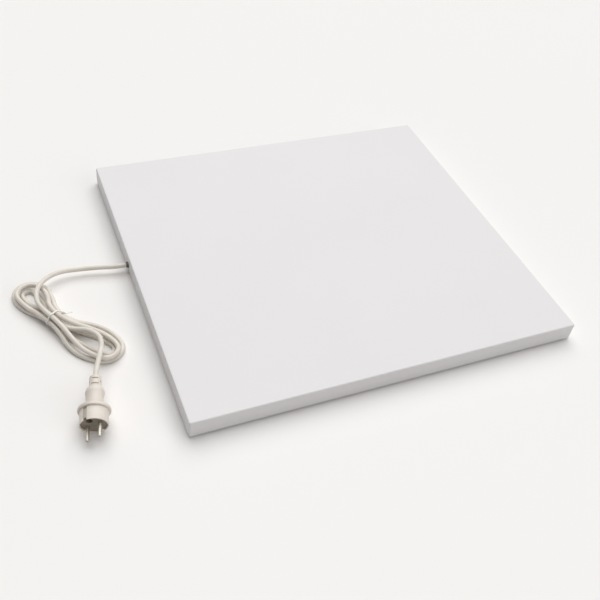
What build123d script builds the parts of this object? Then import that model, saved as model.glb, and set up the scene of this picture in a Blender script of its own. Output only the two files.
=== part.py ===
from build123d import *
import math
import os

# A flat infrared panel heater that lies on its back with the heated face up, its mains
# lead tied in a hank beside it. Millimetres. X runs along the front edge, Y runs to the
# back, Z points up. The origin is on the floor under the middle of the panel.

os.makedirs("parts", exist_ok=True)

# ---------------------------------------------------------------- driving sizes

# Tray: the heated face and the four side walls, folded from one sheet
panel_width = 600.0
panel_depth = 550.0
overall_height = 31.0
sheet = 1.0
corner_radius = 3.0
edge_radius = 2.0
flange_width = 14.0
flange_corner_radius = 4.0
floor_gap = 3.5  # from the floor to the lower edge of the side walls

# Rear cover and what carries the panel
cover_sheet = 0.8
cover_inset = 6.0
pad_radius = 9.0
pad_chamfer = 0.4
pad_set_in = 45.0  # from the sides of the panel to the middle of a pad
rail_width = 24.0
rail_height = 10.0
rail_sheet = 1.0
rail_set_in = 35.0
rail_fit = 0.3
fixing_set_in_x = 130.0
fixing_set_in_y = 100.0
nut_bore_radius = 2.5  # core of an M6 thread
nut_radius = 4.5
nut_fit = 0.1
nut_flange_radius = 6.5
nut_flange = 1.0
nut_length = 13.0
nut_bulge_radius = 5.7
nut_bulge = 2.5
nut_relief_radius = 7.0

# Laminated element behind the face
element_margin = 12.0
carrier_thickness = 0.6
track_thickness = 0.3
film_thickness = 0.4
foil_thickness = 0.2
track_passes = 12
track_width = 18.0
track_edge_margin = 20.0
track_side_margin = 14.0
terminal_plate_radius = 4.0
terminal_pin_radius = 1.5
terminal_hole_clearance = 0.5
terminal_pin_bottom = 24.0

# Insulation board
insulation_margin = 16.0
insulation_roof = 4.0  # what is left of the board above the junction box

# Cover screws
cover_screw_head_radius = 3.4
cover_screw_head = 1.6
cover_screw_radius = 1.7
cover_screw_length = 7.3
cover_screw_fit = 0.1
flange_screw_fit = 0.05
cover_screw_inset = 10.0
front_screw_set_in = 60.0
side_screw_set_in = 185.0
recess_length = 3.2
recess_width = 0.8
recess_depth = 0.8

# Mains cord and its entry
cord_radius = 3.5
cord_y = 48.0
cord_z = 13.0
entry_bore_fit = 0.05
entry_barrel_radius = 4.4
entry_hole_fit = 0.1
entry_flange_radius = 7.5
entry_flange = 1.5
entry_lip_radius = 4.9
entry_lip = 1.0
entry_nose_radius = 4.1
entry_nose = 3.5
entry_barrel = 15.0

# Junction box behind the panel, next to the cord entry
box_set_in = 18.0  # from the side wall to the box
box_length = 84.0
box_width = 60.0
box_wall = 2.0
box_fit = 0.3
post_size = 8.0
box_cord_fit = 0.2
box_wire_fit = 0.3
plate_margin = 3.0
plate_corner_radius = 3.0
opening_margin = 9.0
plate_screw_head_radius = 2.8
plate_screw_head = 1.4
plate_screw_radius = 1.35
plate_screw_length = 10.0
plate_screw_fit = 0.15
post_screw_fit = 0.05

# Cord clamp
clamp_set_in = 15.0  # from the outer side of the box
clamp_length = 10.0
clamp_width = 26.0
clamp_thickness = 4.0
clamp_squeeze_gap = 0.05
clamp_opening = 1.0  # from the clamped side of the cord to the underside of its seat
seat_groove_reach = 21.0
clamp_screw_offset = 9.5
clamp_screw_radius = 1.4
clamp_screw_head_radius = 3.0
clamp_screw_head = 1.6
clamp_screw_reach = 9.0
clamp_screw_end_gap = 1.0
sheath_set_in = 26.0

# Terminal block and cores
block_set_back = 20.0  # from the inner side of the box
block_length = 20.0
block_width = 30.0
block_height = 12.0
pole_pitch = 9.0
tube_width = 5.0
tube_height = 6.0
tube_fit = 0.1
tube_bore_radius = 1.6
tube_inset = 1.0
wire_radius = 1.1
conductor_radius = 0.8
conductor_length = 6.0
wire_z = 16.5
core_spread = 1.9
core_low_z = 12.2
core_high_z = 15.0
terminal_screw_offset = 5.0
terminal_screw_radius = 1.2
terminal_screw_head_radius = 2.1
terminal_screw_head = 2.0
terminal_screw_fit = 0.05
screw_well_radius = 2.4
block_screw_radius = 1.3
block_screw_head_radius = 2.3
block_screw_head = 1.5
block_screw_end_gap = 0.3

# Overheating cut-out
limiter_set_out = 58.0  # beyond the inner side of the box
limiter_radius = 8.5
limiter_height = 9.0
limiter_fit = 0.5
blade_offset = 5.0
blade_thickness = 0.8
blade_width = 6.3
blade_length = 8.0

# Wiring space in the board
chamber_set_out = 86.0
chamber_low_side = 18.0
chamber_high_side = 22.0
chamber_top = 20.0
return_side = 16.0
return_set_out = 80.0
duct_width = 16.0
earth_duct_width = 12.0
earth_lane_set_out = 8.0
terminal_set_out = 12.0
held_bend = 6.0

# Earth stud on the folded flange
earth_set_back = 70.0  # from the cord
earth_set_in = 7.0
earth_low_run = 20.0
earth_high_run = 40.0
stud_radius = 2.0
stud_height = 9.0
ring_radius = 4.4
ring_thickness = 0.8
ring_fit = 0.1
ring_neck = 1.0
ring_barrel_radius = 1.6
ring_barrel_length = 6.0
earth_nut_size = 7.0
earth_nut_height = 3.0

# Hank: three turns, drawn in where the tie holds them
tie_set_out = 124.0  # from the side wall
tie_y = -33.0
waist_heading = -62.0  # degrees from +X
strand_rise = 7.7  # from one layer to the next
waist_step = 8.4  # between strands side by side under the tie
tie_clearance = 0.4
tie_thickness = 0.8
tie_width = 2.4
hank_end = 10.0
lead_last_run = 15.0
tail_first_run = 12.0
tail_last_run = 9.0
far_fullness = 1.5  # length of a lobe's round end over its half width
near_fullness = 1.0
# Heading, reach, half width and layer of each turn: the lobe towards the front, then
# the one at the back
far_turns = [(-52.4, 109.0, 18.7, 1), (-49.2, 110.0, 28.0, 0), (-49.2, 100.5, 11.2, 0)]
near_turns = [(111.5, 82.0, 18.5, 1), (109.3, 91.0, 23.7, 0), (111.5, 78.0, 9.5, 0)]
tie_ear_heading = 0.0
tie_ear_length = 10.0
tie_ear_width = 3.0
tie_ear_thickness = 1.0

# Plug
plug_set_out = 109.9
plug_face_y = -233.3
plug_heading = -103.8
plug_tilt = 5.0  # nose down
plug_roll = -34.0
plug_body_radius = 18.2
plug_body_length = 19.2
plug_rim = 1.35
plug_flange_radius = 21.0
plug_flange = 4.5
plug_flange_round = 1.2
grip_root_radius = 11.8
grip_neck_radius = 11.3
grip_crown_radius = 12.5
grip_neck = 38.0
grip_crown = 47.0
grip_end = 56.0
relief_radius = 8.2
relief_end_radius = 7.7
plug_length = 71.5
# Slots that let the bend relief give: distance from the face, radius of the slot's
# floor and turn around the axis from the top
relief_slots = [(57.6, 5.8, 0), (61.6, 5.8, 90), (65.8, 5.8, 0)]
relief_slot_length = 2.0
relief_slot_width = 9.5
relief_slot_height = 6.0
bridge_fit = 0.1
bridge_recess = 2.0
bridge_length = 16.0
pin_radius = 2.4
pin_spacing = 19.0
pin_length = 19.0
pin_root = 13.0
pin_fit = 0.05
pin_tip_round = 1.4
earth_socket_offset = -9.2
earth_socket_radius = 3.2
earth_socket_bore = 2.45
earth_socket_length = 9.0
socket_recess_radius = 4.4
socket_recess_depth = 6.0
earth_slot_width = 5.6
earth_slot_floor = 16.4
earth_strip_width = 4.6
earth_strip_thickness = 0.8
strip_set_back = 1.0  # from the front of the insert
rim_overcut = 1.0

# ---------------------------------------------------------------- worked-out levels

cover_bottom = floor_gap - cover_sheet
flange_top = floor_gap + sheet
face_inside = overall_height - sheet
carrier_bottom = face_inside - carrier_thickness
track_bottom = carrier_bottom - track_thickness
film_bottom = track_bottom - film_thickness
foil_bottom = film_bottom - foil_thickness
wall_x = -panel_width / 2
pad_spacing_x = panel_width - 2 * pad_set_in
pad_spacing_y = panel_depth - 2 * pad_set_in
rail_length = panel_depth - 2 * rail_set_in
fixing_spacing_x = panel_width - 2 * fixing_set_in_x
fixing_spacing_y = panel_depth - 2 * fixing_set_in_y
front_screw_spacing = (panel_width - 2 * front_screw_set_in) / 3
side_screw_spacing = panel_depth - 2 * side_screw_set_in
element_width = panel_width - 2 * element_margin
element_depth = panel_depth - 2 * element_margin
insulation_width = panel_width - 2 * insulation_margin
insulation_depth = panel_depth - 2 * insulation_margin
box_top = foil_bottom - insulation_roof
box_ceiling = box_top - box_wall
box_left = wall_x + box_set_in
box_right = box_left + box_length
box_x = (box_left + box_right) / 2
clamp_x = box_left + clamp_set_in
sheath_end_x = box_left + sheath_set_in
block_x = box_right - block_set_back
earth_lane_x = box_right + earth_lane_set_out
track_terminal_x = box_right + terminal_set_out
limiter_x = box_right + limiter_set_out
return_x = box_right + return_set_out
return_y = cord_y + return_side
chamber_right = box_right + chamber_set_out
chamber_low_y = cord_y - chamber_low_side
chamber_high_y = cord_y + chamber_high_side
earth_x = wall_x + earth_set_in
earth_y = cord_y + earth_set_back
tie_x = wall_x - tie_set_out
plug_face_x = wall_x - plug_set_out
track_span_y = element_depth - 2 * track_edge_margin
track_pitch = track_span_y / (track_passes - 1)
track_end_x = element_width / 2 - track_side_margin
terminal_points = [(track_terminal_x, side * track_span_y / 2) for side in (-1, 1)]

screw_x = panel_width / 2 - cover_screw_inset
screw_y = panel_depth / 2 - cover_screw_inset
cover_screw_points = [
    (step * front_screw_spacing, side * screw_y)
    for side in (-1, 1)
    for step in (-1.5, -0.5, 0.5, 1.5)
] + [
    (side * screw_x, step * side_screw_spacing)
    for side in (-1, 1)
    for step in (-0.5, 0.5)
]
fixing_points = [
    (side_x * fixing_spacing_x / 2, side_y * fixing_spacing_y / 2)
    for side_x in (-1, 1)
    for side_y in (-1, 1)
]
post_points = [
    (
        box_x + side_x * (box_length - post_size) / 2,
        cord_y + side_y * (box_width - post_size) / 2,
    )
    for side_x in (-1, 1)
    for side_y in (-1, 1)
]
pole_ys = [cord_y - pole_pitch, cord_y, cord_y + pole_pitch]
neutral_y, live_y, earth_pole_y = pole_ys


def held_radii(points):
    """Bend radii of a wire that lies in a duct: small, but within its runs."""
    runs = [(Vector(b) - Vector(a)).length for a, b in zip(points, points[1:])]
    radii = []
    for before, after, a, b, c in zip(runs, runs[1:], points, points[1:], points[2:]):
        turn = (Vector(b) - Vector(a)).get_angle(Vector(c) - Vector(b))
        largest = 0.45 * min(before, after) / math.tan(math.radians(turn) / 2)
        radii.append(min(held_bend, largest))
    return radii


def free_radii(points):
    """Bend radii of the free cord: each arc as large as its two runs allow."""
    runs = [(Vector(b) - Vector(a)).length for a, b in zip(points, points[1:])]
    radii = []
    for before, after, a, b, c in zip(runs, runs[1:], points, points[1:], points[2:]):
        turn = (Vector(b) - Vector(a)).get_angle(Vector(c) - Vector(b))
        radii.append(0.45 * min(before, after) / math.tan(math.radians(turn) / 2))
    return radii


def report_tube(name, builder, wire, radius):
    """Print a tube's volume beside its section times its length."""
    expected = math.pi * radius**2 * wire.length
    print(name, "length", round(wire.length, 1), "volume", round(builder.part.volume),
          "section x length", round(expected))


# ---------------------------------------------------------------- tray and rear cover

with BuildPart() as tray_cavity:
    with BuildSketch(Plane.XY.offset(flange_top)):
        RectangleRounded(panel_width - 2 * sheet, panel_depth - 2 * sheet, corner_radius - sheet)
    extrude(amount=face_inside - flange_top)
    fillet(tray_cavity.faces().sort_by(Axis.Z)[-1].edges(), radius=edge_radius - sheet)

with BuildPart() as front_panel:
    with BuildSketch(Plane.XY.offset(floor_gap)):
        RectangleRounded(panel_width, panel_depth, corner_radius)
    extrude(amount=overall_height - floor_gap)
    fillet(front_panel.faces().sort_by(Axis.Z)[-1].edges(), radius=edge_radius)
    add(tray_cavity.part, mode=Mode.SUBTRACT)
    with BuildSketch(Plane.XY.offset(floor_gap)):
        RectangleRounded(
            panel_width - 2 * flange_width, panel_depth - 2 * flange_width, flange_corner_radius
        )
        with Locations(*cover_screw_points):
            Circle(cover_screw_radius + flange_screw_fit)
    extrude(amount=sheet, mode=Mode.SUBTRACT)
    with BuildSketch(Plane.YZ.offset(wall_x)):
        with Locations((cord_y, cord_z)):
            Circle(entry_barrel_radius + entry_hole_fit)
    extrude(amount=sheet, mode=Mode.SUBTRACT)
front_panel.part.label = "front_panel"
export_step(front_panel.part, "parts/front_panel.step")

with BuildPart() as rear_cover:
    with BuildSketch(Plane.XY.offset(cover_bottom)):
        RectangleRounded(
            panel_width - 2 * cover_inset, panel_depth - 2 * cover_inset, corner_radius - edge_radius
        )
        with Locations(*cover_screw_points):
            Circle(cover_screw_radius + cover_screw_fit, mode=Mode.SUBTRACT)
        with Locations(*fixing_points):
            Circle(nut_radius + nut_fit, mode=Mode.SUBTRACT)
        with Locations(*post_points):
            Circle(plate_screw_radius + plate_screw_fit, mode=Mode.SUBTRACT)
        with Locations((box_x, cord_y)):
            Rectangle(
                box_length - 2 * opening_margin, box_width - 2 * opening_margin, mode=Mode.SUBTRACT
            )
    extrude(amount=cover_sheet)
rear_cover.part.label = "rear_cover"
export_step(rear_cover.part, "parts/rear_cover.step")

with BuildPart() as rear_pads:
    with BuildSketch():
        with GridLocations(pad_spacing_x, pad_spacing_y, 2, 2):
            Circle(pad_radius)
    extrude(amount=cover_bottom)
    chamfer(rear_pads.faces().group_by(Axis.Z)[0].edges(), length=pad_chamfer)
rear_pads.part.label = "rear_pads"
export_step(rear_pads.part, "parts/rear_pads.step")

with BuildPart() as cover_screws:
    with BuildSketch(Plane.XY.offset(cover_bottom - cover_screw_head)):
        with Locations(*cover_screw_points):
            Circle(cover_screw_head_radius)
    extrude(amount=cover_screw_head)
    fillet(
        cover_screws.faces().group_by(Axis.Z)[0].edges(), radius=cover_screw_head / 2
    )
    with BuildSketch(Plane.XY.offset(cover_bottom)):
        with Locations(*cover_screw_points):
            Circle(cover_screw_radius)
    extrude(amount=cover_screw_length)
    with BuildSketch(Plane.XY.offset(cover_bottom - cover_screw_head)):
        with Locations(*cover_screw_points):
            Rectangle(recess_length, recess_width)
            Rectangle(recess_width, recess_length)
    extrude(amount=recess_depth, mode=Mode.SUBTRACT)
cover_screws.part.label = "cover_screws"
export_step(cover_screws.part, "parts/cover_screws.step")

with BuildPart() as stiffening_rails:
    with BuildSketch(Plane.XY.offset(floor_gap)):
        with GridLocations(fixing_spacing_x, 1, 2, 1):
            Rectangle(rail_width, rail_length)
    extrude(amount=rail_height)
    with BuildSketch(Plane.XY.offset(floor_gap + rail_sheet)):
        with GridLocations(fixing_spacing_x, 1, 2, 1):
            Rectangle(rail_width - 2 * rail_sheet, rail_length)
    extrude(amount=rail_height, mode=Mode.SUBTRACT)
    with BuildSketch(Plane.XY.offset(floor_gap)):
        with Locations(*fixing_points):
            Circle(nut_radius + nut_fit)
    extrude(amount=rail_sheet, mode=Mode.SUBTRACT)
stiffening_rails.part.label = "stiffening_rails"
export_step(stiffening_rails.part, "parts/stiffening_rails.step")

with BuildPart() as rivet_nuts:
    with BuildSketch(Plane.XY.offset(cover_bottom - nut_flange)):
        with Locations(*fixing_points):
            Circle(nut_flange_radius)
    extrude(amount=nut_flange)
    with BuildSketch(Plane.XY.offset(cover_bottom)):
        with Locations(*fixing_points):
            Circle(nut_radius)
    extrude(amount=nut_length - nut_flange)
    with BuildSketch(Plane.XY.offset(floor_gap + rail_sheet)):
        with Locations(*fixing_points):
            Circle(nut_bulge_radius)
    extrude(amount=nut_bulge)
    with BuildSketch(Plane.XY.offset(cover_bottom - nut_flange)):
        with Locations(*fixing_points):
            Circle(nut_bore_radius)
    extrude(amount=nut_length, mode=Mode.SUBTRACT)
rivet_nuts.part.label = "rivet_nuts"
export_step(rivet_nuts.part, "parts/rivet_nuts.step")

# ---------------------------------------------------------------- element and insulation

with BuildPart() as element_carrier:
    with BuildSketch(Plane.XY.offset(carrier_bottom)):
        Rectangle(element_width, element_depth)
    extrude(amount=carrier_thickness)
element_carrier.part.label = "element_carrier"
export_step(element_carrier.part, "parts/element_carrier.step")

with BuildPart() as heating_track:
    with BuildSketch(Plane.XY.offset(track_bottom)):
        for track_pass in range(track_passes):
            pass_y = track_pass * track_pitch - track_span_y / 2
            is_outer = track_pass in (0, track_passes - 1)
            pass_left = track_terminal_x - track_width / 2 if is_outer else -track_end_x
            with Locations(((track_end_x + pass_left) / 2, pass_y)):
                Rectangle(track_end_x - pass_left, track_width)
        for link in range(track_passes - 1):
            link_y = (link + 0.5) * track_pitch - track_span_y / 2
            side = 1 if link % 2 == 0 else -1
            with Locations((side * (track_end_x - track_width / 2), link_y)):
                Rectangle(track_width, track_pitch + track_width)
    extrude(amount=track_thickness)
heating_track.part.label = "heating_track"
export_step(heating_track.part, "parts/heating_track.step")

with BuildPart() as cover_film:
    with BuildSketch(Plane.XY.offset(film_bottom)):
        Rectangle(element_width, element_depth)
        with Locations(*terminal_points):
            Circle(terminal_plate_radius + terminal_hole_clearance, mode=Mode.SUBTRACT)
    extrude(amount=film_thickness)
cover_film.part.label = "cover_film"
export_step(cover_film.part, "parts/cover_film.step")

with BuildPart() as track_terminals:
    with BuildSketch(Plane.XY.offset(film_bottom)):
        with Locations(*terminal_points):
            Circle(terminal_plate_radius)
    extrude(amount=film_thickness)
    with BuildSketch(Plane.XY.offset(terminal_pin_bottom)):
        with Locations(*terminal_points):
            Circle(terminal_pin_radius)
    extrude(amount=film_bottom - terminal_pin_bottom)
track_terminals.part.label = "track_terminals"
export_step(track_terminals.part, "parts/track_terminals.step")

with BuildPart() as reflector_foil:
    with BuildSketch(Plane.XY.offset(foil_bottom)):
        Rectangle(element_width, element_depth)
        with Locations(*terminal_points):
            Circle(terminal_plate_radius + terminal_hole_clearance, mode=Mode.SUBTRACT)
        with Locations((limiter_x, cord_y)):
            Circle(limiter_radius + limiter_fit, mode=Mode.SUBTRACT)
    extrude(amount=foil_thickness)
reflector_foil.part.label = "reflector_foil"
export_step(reflector_foil.part, "parts/reflector_foil.step")

with BuildPart() as insulation_board:
    with BuildSketch(Plane.XY.offset(floor_gap)):
        Rectangle(insulation_width, insulation_depth)
    extrude(amount=foil_bottom - floor_gap)
    # Pocket for the junction box, open to the side where the cord comes in
    with BuildSketch(Plane.XY.offset(floor_gap)):
        with Locations((box_right + box_fit, cord_y)):
            Rectangle(
                box_length + box_fit + insulation_margin,
                box_width + 2 * box_fit,
                align=(Align.MAX, Align.CENTER),
            )
    extrude(amount=box_top - floor_gap, mode=Mode.SUBTRACT)
    # Wiring chamber, the duct to both ends of the track and the duct to the earth stud
    with BuildSketch(Plane.XY.offset(floor_gap)):
        with Locations((box_right, (chamber_low_y + chamber_high_y) / 2)):
            Rectangle(
                chamber_right - box_right,
                chamber_high_y - chamber_low_y,
                align=(Align.MIN, Align.CENTER),
            )
        with Locations(((track_terminal_x + earth_lane_x) / 2, 0)):
            Rectangle(duct_width, track_span_y + 2 * terminal_plate_radius)
        with Locations((track_terminal_x, earth_y)):
            Rectangle(
                insulation_width / 2 + track_terminal_x,
                earth_duct_width,
                align=(Align.MAX, Align.CENTER),
            )
    extrude(amount=chamber_top - floor_gap, mode=Mode.SUBTRACT)
    with BuildSketch(Plane.XY.offset(floor_gap)):
        with Locations(*terminal_points):
            Circle(terminal_plate_radius + terminal_hole_clearance)
        with Locations((limiter_x, cord_y)):
            Circle(limiter_radius + limiter_fit)
    extrude(amount=foil_bottom - floor_gap, mode=Mode.SUBTRACT)
    # Grooves over the rails and reliefs over the rivet nuts
    with BuildSketch(Plane.XY.offset(floor_gap)):
        with GridLocations(fixing_spacing_x, 1, 2, 1):
            Rectangle(rail_width + 2 * rail_fit, rail_length + 2 * rail_fit)
    extrude(amount=rail_height + rail_fit, mode=Mode.SUBTRACT)
    with BuildSketch(Plane.XY.offset(floor_gap)):
        with Locations(*fixing_points):
            Circle(nut_relief_radius)
    extrude(amount=nut_length + nut_flange, mode=Mode.SUBTRACT)
insulation_board.part.label = "insulation_board"
export_step(insulation_board.part, "parts/insulation_board.step")

# ---------------------------------------------------------------- junction box

seat_bottom = cord_z - cord_radius + clamp_squeeze_gap + clamp_opening
bar_top = cord_z - cord_radius - clamp_squeeze_gap
clamp_screw_points = [(clamp_x, cord_y + side * clamp_screw_offset) for side in (-1, 1)]
block_screw_points = [(block_x, cord_y + side * pole_pitch / 2) for side in (-1, 1)]

with BuildPart() as junction_box:
    with BuildSketch(Plane.XY.offset(floor_gap)):
        with Locations((box_x, cord_y)):
            Rectangle(box_length, box_width)
    extrude(amount=box_top - floor_gap)
    with BuildSketch(Plane.XY.offset(floor_gap)):
        with Locations((box_x, cord_y)):
            Rectangle(box_length - 2 * box_wall, box_width - 2 * box_wall)
        with Locations(*post_points):
            Rectangle(post_size, post_size, mode=Mode.SUBTRACT)
    extrude(amount=box_ceiling - floor_gap, mode=Mode.SUBTRACT)
    # Seat that the clamp presses the cord into
    with BuildSketch(Plane.XY.offset(seat_bottom)):
        with Locations((clamp_x, cord_y)):
            Rectangle(clamp_length, clamp_width)
    extrude(amount=box_ceiling - seat_bottom)
    with BuildSketch(Plane.YZ.offset(clamp_x - clamp_length / 2)):
        with Locations((cord_y, cord_z)):
            SlotOverall(
                seat_groove_reach, 2 * (cord_radius + clamp_squeeze_gap), rotation=90
            )
        with Locations((cord_y, cord_z + cord_radius + clamp_squeeze_gap)):
            Rectangle(
                seat_groove_reach,
                seat_groove_reach,
                align=(Align.CENTER, Align.MIN),
                mode=Mode.SUBTRACT,
            )
    extrude(amount=clamp_length, mode=Mode.SUBTRACT)
    with BuildSketch(Plane.XY.offset(seat_bottom)):
        with Locations(*clamp_screw_points):
            Circle(clamp_screw_radius + post_screw_fit)
    extrude(amount=clamp_screw_reach, mode=Mode.SUBTRACT)
    # Holes: cord, the three wires to the panel, cover screws and block screws
    with BuildSketch(Plane.YZ.offset(box_left)):
        with Locations((cord_y, cord_z)):
            Circle(cord_radius + box_cord_fit)
    extrude(amount=box_wall, mode=Mode.SUBTRACT)
    with BuildSketch(Plane.YZ.offset(box_right - box_wall)):
        with Locations(*[(pole_y, wire_z) for pole_y in pole_ys]):
            Circle(wire_radius + box_wire_fit)
    extrude(amount=box_wall, mode=Mode.SUBTRACT)
    with BuildSketch(Plane.XY.offset(floor_gap)):
        with Locations(*post_points):
            Circle(plate_screw_radius + post_screw_fit)
    extrude(amount=plate_screw_length, mode=Mode.SUBTRACT)
    with BuildSketch(Plane.XY.offset(box_ceiling)):
        with Locations(*block_screw_points):
            Circle(block_screw_radius + post_screw_fit)
    extrude(amount=box_wall, mode=Mode.SUBTRACT)
junction_box.part.label = "junction_box"
export_step(junction_box.part, "parts/junction_box.step")

with BuildPart() as access_plate:
    with BuildSketch(Plane.XY.offset(cover_bottom - cover_sheet)):
        with Locations((box_x, cord_y)):
            RectangleRounded(
                box_length + 2 * plate_margin, box_width + 2 * plate_margin, plate_corner_radius
            )
        with Locations(*post_points):
            Circle(plate_screw_radius + plate_screw_fit, mode=Mode.SUBTRACT)
    extrude(amount=cover_sheet)
access_plate.part.label = "access_plate"
export_step(access_plate.part, "parts/access_plate.step")

plate_screw_seat = cover_bottom - cover_sheet
with BuildPart() as plate_screws:
    with BuildSketch(Plane.XY.offset(plate_screw_seat - plate_screw_head)):
        with Locations(*post_points):
            Circle(plate_screw_head_radius)
    extrude(amount=plate_screw_head)
    fillet(plate_screws.faces().group_by(Axis.Z)[0].edges(), radius=plate_screw_head / 2)
    with BuildSketch(Plane.XY.offset(plate_screw_seat)):
        with Locations(*post_points):
            Circle(plate_screw_radius)
    extrude(amount=plate_screw_length)
    with BuildSketch(Plane.XY.offset(plate_screw_seat - plate_screw_head)):
        with Locations(*post_points):
            Rectangle(recess_length, recess_width)
            Rectangle(recess_width, recess_length)
    extrude(amount=recess_depth, mode=Mode.SUBTRACT)
plate_screws.part.label = "plate_screws"
export_step(plate_screws.part, "parts/plate_screws.step")

with BuildPart() as cord_clamp:
    with BuildSketch(Plane.XY.offset(bar_top - clamp_thickness)):
        with Locations((clamp_x, cord_y)):
            Rectangle(clamp_length, clamp_width)
        with Locations(*clamp_screw_points):
            Circle(clamp_screw_radius + plate_screw_fit, mode=Mode.SUBTRACT)
    extrude(amount=clamp_thickness)
cord_clamp.part.label = "cord_clamp"
export_step(cord_clamp.part, "parts/cord_clamp.step")

clamp_screw_seat = bar_top - clamp_thickness
with BuildPart() as clamp_screws:
    with BuildSketch(Plane.XY.offset(clamp_screw_seat - clamp_screw_head)):
        with Locations(*clamp_screw_points):
            Circle(clamp_screw_head_radius)
    extrude(amount=clamp_screw_head)
    with BuildSketch(Plane.XY.offset(clamp_screw_seat)):
        with Locations(*clamp_screw_points):
            Circle(clamp_screw_radius)
    extrude(amount=seat_bottom + clamp_screw_reach - clamp_screw_seat - clamp_screw_end_gap)
    with BuildSketch(Plane.XY.offset(clamp_screw_seat - clamp_screw_head)):
        with Locations(*clamp_screw_points):
            Rectangle(recess_length, recess_width)
            Rectangle(recess_width, recess_length)
    extrude(amount=recess_depth, mode=Mode.SUBTRACT)
clamp_screws.part.label = "clamp_screws"
export_step(clamp_screws.part, "parts/clamp_screws.step")

# ---------------------------------------------------------------- terminal block

block_bottom = box_ceiling - block_height
block_left = block_x - block_length / 2
block_right = block_x + block_length / 2
screw_well_points = [
    (block_x + side * terminal_screw_offset, pole_y)
    for pole_y in pole_ys
    for side in (-1, 1)
]

with BuildPart() as terminal_block:
    with BuildSketch(Plane.XY.offset(block_bottom)):
        with Locations((block_x, cord_y)):
            Rectangle(block_length, block_width)
    extrude(amount=block_height)
    with BuildSketch(Plane.YZ.offset(block_left)):
        with Locations(*[(pole_y, wire_z) for pole_y in pole_ys]):
            Rectangle(tube_width + 2 * tube_fit, tube_height + 2 * tube_fit)
    extrude(amount=block_length, mode=Mode.SUBTRACT)
    with BuildSketch(Plane.XY.offset(block_bottom)):
        with Locations(*screw_well_points):
            Circle(screw_well_radius)
    extrude(amount=wire_z - block_bottom, mode=Mode.SUBTRACT)
    with BuildSketch(Plane.XY.offset(block_bottom)):
        with Locations(*block_screw_points):
            Circle(block_screw_radius + post_screw_fit)
    extrude(amount=block_height, mode=Mode.SUBTRACT)
terminal_block.part.label = "terminal_block"
export_step(terminal_block.part, "parts/terminal_block.step")

with BuildPart() as terminal_tubes:
    with BuildSketch(Plane.YZ.offset(block_left + tube_inset)):
        with Locations(*[(pole_y, wire_z) for pole_y in pole_ys]):
            Rectangle(tube_width, tube_height)
            Circle(tube_bore_radius, mode=Mode.SUBTRACT)
    extrude(amount=block_length - 2 * tube_inset)
    with BuildSketch(Plane.XY.offset(wire_z - tube_height / 2)):
        with Locations(*screw_well_points):
            Circle(terminal_screw_radius + terminal_screw_fit)
    extrude(amount=tube_height / 2, mode=Mode.SUBTRACT)
terminal_tubes.part.label = "terminal_tubes"
export_step(terminal_tubes.part, "parts/terminal_tubes.step")

screw_tip = wire_z - conductor_radius
well_head_top = wire_z - tube_height / 2 - tube_fit
with BuildPart() as terminal_screws:
    with BuildSketch(Plane.XY.offset(well_head_top - terminal_screw_head)):
        with Locations(*screw_well_points):
            Circle(terminal_screw_head_radius)
    extrude(amount=terminal_screw_head)
    with BuildSketch(Plane.XY.offset(well_head_top)):
        with Locations(*screw_well_points):
            Circle(terminal_screw_radius)
    extrude(amount=screw_tip - well_head_top)
terminal_screws.part.label = "terminal_screws"
export_step(terminal_screws.part, "parts/terminal_screws.step")

with BuildPart() as block_screws:
    with BuildSketch(Plane.XY.offset(block_bottom - block_screw_head)):
        with Locations(*block_screw_points):
            Circle(block_screw_head_radius)
    extrude(amount=block_screw_head)
    with BuildSketch(Plane.XY.offset(block_bottom)):
        with Locations(*block_screw_points):
            Circle(block_screw_radius)
    extrude(amount=block_height + box_wall - block_screw_end_gap)
    with BuildSketch(Plane.XY.offset(block_bottom - block_screw_head)):
        with Locations(*block_screw_points):
            Rectangle(recess_length, recess_width)
            Rectangle(recess_width, recess_length)
    extrude(amount=recess_depth, mode=Mode.SUBTRACT)
block_screws.part.label = "block_screws"
export_step(block_screws.part, "parts/block_screws.step")

# ---------------------------------------------------------------- cut-out and wiring

limiter_bottom = film_bottom - limiter_height
with BuildPart() as thermal_limiter:
    with BuildSketch(Plane.XY.offset(limiter_bottom)):
        with Locations((limiter_x, cord_y)):
            Circle(limiter_radius)
    extrude(amount=limiter_height)
    with BuildSketch(Plane.XY.offset(limiter_bottom - blade_length)):
        with Locations((limiter_x - blade_offset, cord_y), (limiter_x + blade_offset, cord_y)):
            Rectangle(blade_thickness, blade_width)
    extrude(amount=blade_length)
thermal_limiter.part.label = "thermal_limiter"
export_step(thermal_limiter.part, "parts/thermal_limiter.step")


def core_route(start_y, start_z, end_y):
    """A core from the cut end of the sheath to its pole."""
    start_run = 7.0
    end_run = 8.0
    return [
        (sheath_end_x, start_y, start_z),
        (sheath_end_x + start_run, start_y, start_z),
        (block_left - end_run, end_y, wire_z),
        (block_left, end_y, wire_z),
    ]


with BuildPart() as core_neutral:
    core_neutral_route = core_route(cord_y - core_spread, core_low_z, neutral_y)
    with BuildLine() as core_line:
        FilletPolyline(*core_neutral_route, radius=held_radii(core_neutral_route))
    with BuildSketch(Plane(origin=core_line.line @ 0, z_dir=core_line.line % 0)):
        Circle(wire_radius)
    sweep()
    with BuildSketch(Plane.YZ.offset(block_left)):
        with Locations((neutral_y, wire_z)):
            Circle(conductor_radius)
    extrude(amount=conductor_length)
core_neutral.part.label = "core_neutral"
export_step(core_neutral.part, "parts/core_neutral.step")

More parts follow.
